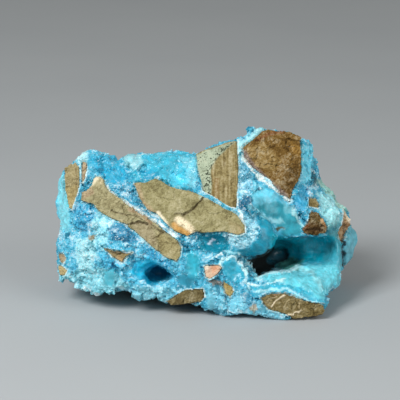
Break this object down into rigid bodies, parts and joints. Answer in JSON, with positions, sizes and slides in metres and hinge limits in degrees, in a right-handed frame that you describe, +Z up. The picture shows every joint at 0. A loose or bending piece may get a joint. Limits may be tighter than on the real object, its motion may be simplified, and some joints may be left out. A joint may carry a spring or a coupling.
{
  "type": "hemimorphite breccia hand specimen",
  "caption": "Loose hand specimen of blue botryoidal hemimorphite cementing angular pieces of brown host rock, with a large open hollow on its front; it rests on its own rounded feet.",
  "frame": {"origin": "middle of the resting footprint's bounding box, on the resting plane", "axes": "+X along the specimen's length, to the right as its display side is seen; +Y away from the viewer of the display side; +Z up from the resting plane"},
  "size_m": [0.1318, 0.0796, 0.0741],
  "materials": {
    "hemimorphite": "satin",
    "tan_rock": "matte",
    "brown_rock": "matte",
    "banded_rock": "matte",
    "pink_rock": "matte"
  },
  "bodies": {
    "root": {"hemimorphite": "hemimorphite", "rock_left_fin": "tan_rock", "rock_small_sliver": "tan_rock", "rock_long_diagonal": "tan_rock", "rock_centre_slab": "tan_rock", "rock_banded": "banded_rock", "rock_top_brown": "brown_rock", "rock_right_chip": "tan_rock", "rock_rusty_wedge": "brown_rock", "rock_shoulder_seam": "brown_rock", "rock_veined_eye": "tan_rock", "rock_lower_wedge": "tan_rock", "rock_bean": "tan_rock", "rock_pink_tan": "pink_rock", "rock_left_triangle": "tan_rock", "rock_edge_upper": "tan_rock", "rock_edge_lower": "tan_rock", "rock_back_slab": "tan_rock", "rock_back_upper_left": "brown_rock", "rock_back_left": "tan_rock", "rock_back_right": "tan_rock", "rock_back_low_right": "tan_rock", "rock_top_left": "tan_rock", "rock_top_middle": "tan_rock", "rock_top_right": "brown_rock", "rock_left_end": "tan_rock", "rock_right_end": "brown_rock", "rock_right_upper": "tan_rock", "rock_underside_left": "tan_rock", "rock_underside_right": "tan_rock"}
  },
  "joints": []
}
